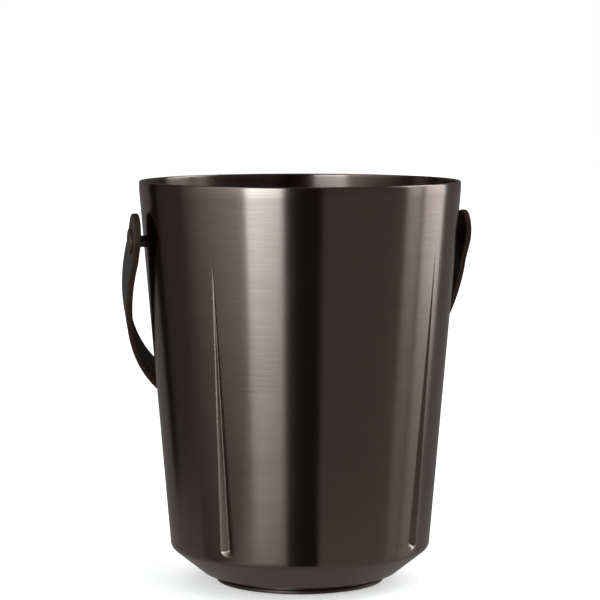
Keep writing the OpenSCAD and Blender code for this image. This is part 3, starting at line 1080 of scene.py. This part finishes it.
def glowing(name, corners, left, right, start_share, colour=plain_light, lights_room=True):
    """A four-cornered card. `left` and `right` are its brightness at its two sides, and
    `start_share` is what is left of that at its first edge."""
    mesh = bpy.data.meshes.new(name)
    mesh.from_pydata([tuple(c) for c in corners], [], [(0, 1, 2, 3)])
    uv = mesh.uv_layers.new(name="across")
    for loop, place in zip(uv.data, ((0, 0), (1, 0), (1, 1), (0, 1))):
        loop.uv = place
    card = in_scene(name, mesh)
    material = bpy.data.materials.new(name)
    material.use_nodes = True
    tree = material.node_tree
    tree.nodes.clear()
    place = add(tree, "ShaderNodeUVMap", uv_map="across")
    split = add(tree, "ShaderNodeSeparateXYZ")
    join(tree, place.outputs[0], split.inputs[0])
    across = math_node(tree, "MULTIPLY_ADD", split.outputs[0], right - left, left)
    onward = math_node(tree, "MULTIPLY_ADD", split.outputs[1], 1 - start_share, start_share)
    glow = add(tree, "ShaderNodeEmission")
    glow.inputs["Color"].default_value = (*colour, 1)
    join(tree, math_node(tree, "MULTIPLY", across, onward), glow.inputs["Strength"])
    end_node = add(tree, "ShaderNodeOutputMaterial")
    join(tree, glow.outputs[0], end_node.inputs[0])
    mesh.materials.append(material)
    card.visible_camera = False
    card.visible_diffuse = lights_room
    card.visible_shadow = False


def panel(name, start, end, left, right, low_share, card_left, card_right, top=1400 * mm,
          card_start=96 * mm, card_share=1.0, colour=plain_light):
    """A tall panel between two azimuths in degrees, and the strip of card that runs from its
    foot along the floor to the bucket."""
    turns = [math.radians(start), math.radians(end)]
    narrow = (1 - mirror_out / card_start) / (1 - mirror_out / panel_distance)
    upright = [towards(turns[i]) * panel_distance + Vector((0, 0, h))
               for i, h in ((0, 0), (1, 0), (1, top), (0, top))]
    glowing(f"panel_{name}", upright, left, right, low_share, colour)
    on_floor = [towards(turns[i] * pull) * d + Vector((0, 0, strip_h))
                for i, d, pull in ((0, card_start, narrow), (1, card_start, narrow),
                                   (1, panel_distance, 1), (0, panel_distance, 1))]
    glowing(f"card_{name}", on_floor, card_left, card_right, card_share, lights_room=False)


clear_of_bucket = 330 * mm
panel("flag_far_left", -131, -119, 0.01, 0.01, 1.0, 0.01, 0.01, card_start=clear_of_bucket,
      colour=brown)
panel("dim_left", -119, -92, 0.08, 0.1, 1.0, 0.08, 0.1, card_start=clear_of_bucket, colour=rosy)
panel("screen_left", -92, -37, 0.16, 2.9, 0.3, 0.11, 0.46)
panel("softbox_left", -37, -11.5, 8.2, 5.4, 0.7, 1.1, 0.75, top=650 * mm, card_share=0.33,
      colour=cool)
panel("black", -11, 15.5, 0.02, 0.02, 1.0, 0.02, 0.02, colour=brown)
panel("strip_right", 79, 92.5, 3.0, 3.6, 0.3, 0.3, 0.34, colour=crisp)
panel("gap_right", 92.5, 95.5, 0.1, 0.1, 1.0, 0.13, 0.13)
panel("softbox_right", 95.5, 121, 5.5, 7.0, 0.3, 0.4, 0.4, colour=crisp)
print(f"panels stand {panel_distance / mm:.0f} mm from the bucket")

# %% [markdown]
# ### Floor
#
# To the eye and to the soft light the floor is pale. To the metal's reflections it is dim, as
# dark card laid round a product would make it, with a faint painted glow that is a little brighter
# close to the foot: painted light that makes up for the bucket's own shadow on the floor there.
# The Light Path node tells the two apart: it knows whether a ray came from the camera or off a
# glossy surface.

# %% Floor
floor_half = 6.0
lines_across = np.linspace(-floor_half, floor_half, 25)
grid_x, grid_y = np.meshgrid(lines_across, lines_across, indexing="ij")
count = len(lines_across)
floor_index = np.arange(count * count).reshape(count, count)
floor_faces = np.stack([floor_index[:-1, :-1], floor_index[1:, :-1], floor_index[1:, 1:],
                        floor_index[:-1, 1:]], axis=-1).reshape(-1, 4)
floor_mesh = bpy.data.meshes.new("floor")
floor_points = np.stack([grid_x, grid_y, 0 * grid_x], axis=-1).reshape(-1, 3)
floor_mesh.from_pydata(floor_points.tolist(), [], floor_faces.tolist())
floor = in_scene("floor", floor_mesh)
print("floor", len(floor_faces), "faces,", 2 * floor_half, "m square")

# %% Floor finish
pale, dark_card, glow_to_eye = (0.86, 0.86, 0.86), (0.04, 0.038, 0.036), 0.45
floor_material, tree, shader = new_material("floor_pale")
path = add(tree, "ShaderNodeLightPath")
dim = path.outputs["Is Glossy Ray"]
join(tree, blend_colour(tree, dim, pale, dark_card), shader.inputs["Base Color"])
shader.inputs["Emission Color"].default_value = (1.0, 0.985, 0.975, 1)
to_eye = math_node(tree, "MULTIPLY", path.outputs["Is Camera Ray"], glow_to_eye)
away = add(tree, "ShaderNodeVectorMath", operation="LENGTH")
join(tree, add(tree, "ShaderNodeTexCoord").outputs["Object"], away.inputs[0])
# Painted light: the glow that the metal sees in the floor is 0.2 within 80 mm of the axis and fades to
# 0.125 at 300 mm, to make up for the bucket's shadow.
near = add(tree, "ShaderNodeMapRange")
join(tree, away.outputs["Value"], near.inputs["Value"])
for label, value in (("From Min", 80 * mm), ("From Max", 300 * mm), ("To Min", 0.2),
                     ("To Max", 0.125)):
    near.inputs[label].default_value = value
join(tree, math_node(tree, "MULTIPLY_ADD", dim, near.outputs[0], to_eye),
     shader.inputs["Emission Strength"])
shader.inputs["Roughness"].default_value = 0.9
shader.inputs["Specular IOR Level"].default_value = 0.0
floor_mesh.materials.append(floor_material)
print("material", floor_material.name)

# %% [markdown]
# ### World
#
# The room works like the floor. For soft light it is white, so the leather and the floor are
# lit evenly from all round. In the metal it is dark grey, so the metal stays dark between the
# panels. The world's own light sampling is off, because it can't know which of the two rooms a
# ray will meet.

# %% World
world = bpy.data.worlds.new("studio")
bpy.context.scene.world = world
world.use_nodes = True
world.cycles.sampling_method = "NONE"
tree = world.node_tree
tree.nodes.clear()
path = add(tree, "ShaderNodeLightPath")
white_room = add(tree, "ShaderNodeBackground")
white_room.inputs["Color"].default_value = (1, 1, 1, 1)
dark_room = add(tree, "ShaderNodeBackground")
dark_room.inputs["Color"].default_value = (0.125, 0.118, 0.116, 1)
either = add(tree, "ShaderNodeMixShader")
for slot, source in enumerate((path.outputs["Is Glossy Ray"], white_room.outputs[0],
                               dark_room.outputs[0])):
    join(tree, source, either.inputs[slot])
end = add(tree, "ShaderNodeOutputWorld")
join(tree, either.outputs[0], end.inputs[0])
print("world", world.name, "with", len(tree.nodes), "nodes")
